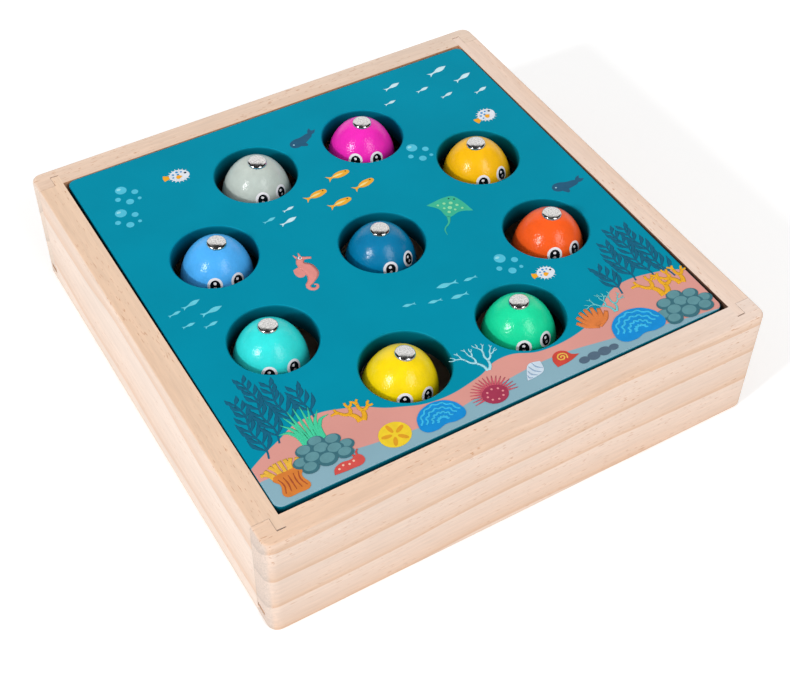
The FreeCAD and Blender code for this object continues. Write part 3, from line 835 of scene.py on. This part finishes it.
CONE = (13, -81, 1.0, -58)
print_ink("cone_shell", (206, 222, 236), 3, [
    outline(((0, -5.0), (-1.9, -1.6), (-2.9, 1.8), (-2.0, 3.4), (0, 5.2), (2.0, 3.4), (2.9, 1.8),
             (1.9, -1.6)), (0, 4), *CONE)])
print_ink("cone_bands", (152, 178, 206), 4, [
    strokes([(((-wide, y), (0.0, y - 0.7), (wide, y)), (0.14, 0.3, 0.14))
             for wide, y in ((1.0, -2.8), (1.8, -1.0), (2.4, 0.9), (2.1, 2.9))], *CONE)])

SLUG = (-61, -84.5)
print_ink("sea_slug", (214, 84, 78), 4, [
    outline(((-6.0, -1.9), (-5.0, 0.2), (-2.0, 1.5), (1.6, 1.2), (4.2, 2.0), (5.6, 0.6), (5.0, -1.7),
             (0.0, -2.3)), (0,), *SLUG),
    strokes([(((4.2, 1.4), (4.4, 3.0), (5.4, 3.9)), (0.45, 0.35, 0.25)),
             (((3.2, 1.4), (2.8, 3.0), (3.2, 4.1)), (0.45, 0.35, 0.25))], *SLUG)])
print_ink("slug_dots", (246, 200, 176), 5, [
    spot(SLUG[0] + dx, SLUG[1] + dy, 0.8) for dx, dy in ((-3.6, -0.5), (-1.8, 0.3), (0.2, -0.3), (2.0, 0.2))])


# --- Fish pegs
# Nine turned wooden eggs under gloss paint. Each has two printed eyes on its front, and each leans its own
# way in its hole.
HOLE_RING = 61.9 * MM
FIRST_HOLE = 22.5
HOLE_STEP = 45.0
PEG_RADIUS = 13.8 * MM
PEG_CROWN = 19.2 * MM
PEG_PROUD = 6.7 * MM
EYE_HALF_WIDTH = 2.8 * MM
EYE_HALF_HEIGHT = 3.0 * MM
EYE_SPREAD = math.radians(21.0)
# Each peg: its colour and paint, its hole (0 is the middle one), how far it has slid and its lean, and then
# the way that it faces, in degrees round from the front, and its eyes' height above its widest ring
PEGS = (
    ("grey", (0.54, 0.60, 0.55), 3, (0.2, -0.5), (0.037, -0.082), 5.8, 10.3),
    ("magenta", (0.94, 0.022, 0.50), 2, (-0.2, 0.3), (0.016, -0.014), -19.8, 9.3),
    ("amber", (1.00, 0.52, 0.002), 1, (-0.7, 0.5), (-0.070, 0.0), 2.5, 9.3),
    ("blue", (0.08, 0.45, 0.97), 4, (0.8, -0.2), (0.044, -0.051), -7.6, 9.2),
    ("navy", (0.001, 0.20, 0.41), 0, (-0.8, 0.2), (-0.028, -0.012), 10.1, 9.6),
    ("orange", (1.00, 0.115, 0.012), 8, (1.5, -0.4), (0.033, 0.028), -3.4, 9.2),
    ("turquoise", (0.035, 0.79, 0.76), 5, (-1.4, 0.4), (0.007, 0.045), -6.5, 7.9),
    ("yellow", (1.00, 0.72, 0.001), 6, (-1.0, 0.0), (0.110, -0.005), -4.5, 8.5),
    ("green", (0.010, 0.75, 0.36), 7, (-0.5, 0.9), (-0.038, 0.037), -3.3, 8.4),
)


def eye_group():
    """One printed eye in its own space, where the white's edge is at 1: a white, a pupil and two glints."""
    group = bpy.data.node_groups.new("printed_eye", "ShaderNodeTree")
    face = group.interface
    face.new_socket("Vector", in_out="INPUT", socket_type="NodeSocketVector")
    face.new_socket("Paint", in_out="INPUT", socket_type="NodeSocketColor")
    face.new_socket("Color", in_out="OUTPUT", socket_type="NodeSocketColor")
    given = group.nodes.new("NodeGroupInput").outputs
    colour = given["Paint"]
    for centre, size, tint in (((0.0, 0.0), (1.0, 1.0), (0.90, 0.88, 0.92)),
                               ((0.02, -0.06), (0.68, 0.76), (0.004, 0.004, 0.006)),
                               ((-0.02, 0.26), (0.20, 0.17), (0.92, 0.90, 0.92)),
                               ((0.0, -0.34), (0.22, 0.16), (0.55, 0.50, 0.52))):
        oval = put(group, "Mapping", {"vector_type": "TEXTURE"},
                   {"Vector": given["Vector"], "Location": (*centre, 0.0), "Scale": (*size, 100.0)})
        away = put(group, "VectorMath", {"operation": "LENGTH"}, {0: oval.outputs["Vector"]})
        mask = put(group, "MapRange", {}, {"Value": away.outputs["Value"], "From Min": 1.03,
                                           "From Max": 0.97})
        outward = put(group, "SeparateXYZ", {}, {"Vector": given["Vector"]})
        in_front = put(group, "Math", {"operation": "GREATER_THAN"}, {0: outward.outputs["Z"], 1: -1.0})
        shown = put(group, "Math", {"operation": "MULTIPLY"}, {0: mask.outputs["Result"],
                                                               1: in_front.outputs["Value"]})
        mixed = put(group, "Mix", {"data_type": "RGBA"}, {"Factor": shown.outputs["Value"], "A": colour,
                                                          "B": (*tint, 1.0)})
        colour = mixed.outputs["Result"]
    result = group.nodes.new("NodeGroupOutput")
    group.links.new(colour, result.inputs["Color"])
    return group


printed_eye = eye_group()


def peg_frame(hole, slid, lean):
    """Where a peg's widest ring is and which way it leans, with its axis as Z."""
    angle = math.radians(FIRST_HOLE + HOLE_STEP * (hole - 1))
    reach = HOLE_RING if hole else 0.0
    at_top = Vector((reach * math.cos(angle) + slid[0] * MM, reach * math.sin(angle) + slid[1] * MM,
                     BOARD_TOP))
    axis = Vector((lean[0], lean[1], 1.0)).normalized()
    side = Vector((0.0, 1.0, 0.0)).cross(axis).normalized()
    turned = Matrix((side, axis.cross(side), axis)).transposed().to_4x4()
    widest = at_top + axis * (PEG_PROUD - PEG_CROWN)
    return Matrix.Translation((0.0, BOARD_SHIFT_Y, 0.0)) @ Matrix.Rotation(BOARD_TURN, 4, "Z") @ (
        Matrix.Translation(widest) @ turned)


def eye_frame(facing, height, side):
    """An eye's place on the egg, in the peg's own space: X across, Y up the peg and Z outward."""
    angle = math.radians(facing) + side * EYE_SPREAD
    ring = PEG_RADIUS * math.sqrt(1 - (height / PEG_CROWN) ** 2)
    centre = Vector((ring * math.sin(angle), -ring * math.cos(angle), height))
    outward = Vector((centre.x / PEG_RADIUS ** 2, centre.y / PEG_RADIUS ** 2,
                      centre.z / PEG_CROWN ** 2)).normalized()
    across = Vector((0.0, 0.0, 1.0)).cross(outward).normalized()
    return Matrix.Translation(centre) @ Matrix((across, outward.cross(across), outward)).transposed().to_4x4()


def gloss_paint(name, paint, peg, facing, eye_height):
    """Gloss paint over turned wood, with the two eyes printed where this peg faces."""
    material, tree, shader = finish_of(name)
    coords = put(tree, "TexCoord")
    mottle = put(tree, "TexNoise", {}, {"Vector": coords.outputs["Object"], "Scale": 260.0, "Detail": 4.0})
    tone = put(tree, "MapRange", {}, {"Value": mottle.outputs["Fac"], "From Min": 0.3, "From Max": 0.7,
                                      "To Min": 0.94, "To Max": 1.05})
    toned = put(tree, "VectorMath", {"operation": "SCALE"}, {0: paint, "Scale": tone.outputs["Result"]})
    colour = toned.outputs["Vector"]
    for side in (-1, 1):
        centre, turn = (peg @ eye_frame(facing, eye_height, side)).decompose()[:2]
        mapping = put(tree, "Mapping", {"vector_type": "TEXTURE"},
                      {"Vector": coords.outputs["Object"], "Location": centre, "Rotation": turn.to_euler(),
                       "Scale": (EYE_HALF_WIDTH, EYE_HALF_HEIGHT, EYE_HALF_WIDTH)})
        eye = tree.nodes.new("ShaderNodeGroup")
        eye.node_tree = printed_eye
        tree.links.new(mapping.outputs["Vector"], eye.inputs["Vector"])
        tree.links.new(colour, eye.inputs["Paint"])
        colour = eye.outputs["Color"]
    brush = put(tree, "TexNoise", {}, {"Vector": coords.outputs["Object"], "Scale": 1300.0, "Detail": 3.0})
    bump = put(tree, "Bump", {}, {"Height": brush.outputs["Fac"], "Strength": 0.8, "Distance": 0.00014})
    tree.links.new(colour, shader.inputs["Base Color"])
    tree.links.new(bump.outputs["Normal"], shader.inputs["Normal"])
    shader.inputs["Roughness"].default_value = 0.20
    shader.inputs["Specular IOR Level"].default_value = 0.42
    return material


for colour, paint, hole, slid, lean, facing, eye_height in PEGS:
    peg = peg_frame(hole, slid, lean)
    dress("fish_" + colour, gloss_paint("paint_" + colour, paint, peg, facing, eye_height * MM))


# --- Tacks
# A domed steel tack with nickel plate, hammered into the crown of each peg for the magnet to find.
# Its plate is a little dented and stained.
def nickel():
    """Nickel plate on steel."""
    material, tree, shader = finish_of("tack_nickel")
    place = put(tree, "TexCoord").outputs["Object"]
    dents = put(tree, "TexNoise", {}, {"Vector": place, "Scale": 700.0, "Detail": 2.0})
    bump = put(tree, "Bump", {}, {"Height": dents.outputs["Fac"], "Strength": 0.25, "Distance": 0.00015})
    rubbed = put(tree, "MapRange", {}, {"Value": dents.outputs["Fac"], "From Min": 0.3, "From Max": 0.7,
                                        "To Min": 0.10, "To Max": 0.24})
    stains = put(tree, "TexNoise", {}, {"Vector": place, "Scale": 1900.0, "Detail": 3.0})
    dull = put(tree, "MapRange", {}, {"Value": stains.outputs["Fac"], "From Min": 0.35, "From Max": 0.60,
                                      "To Min": 0.72, "To Max": 1.0})
    plate = put(tree, "VectorMath", {"operation": "SCALE"}, {0: (0.97, 0.95, 0.93),
                                                             "Scale": dull.outputs["Result"]})
    tree.links.new(plate.outputs["Vector"], shader.inputs["Base Color"])
    tree.links.new(bump.outputs["Normal"], shader.inputs["Normal"])
    tree.links.new(rubbed.outputs["Result"], shader.inputs["Roughness"])
    shader.inputs["Metallic"].default_value = 1.0
    return material


tack_nickel = nickel()
for peg in PEGS:
    dress("tack_" + peg[0], tack_nickel)
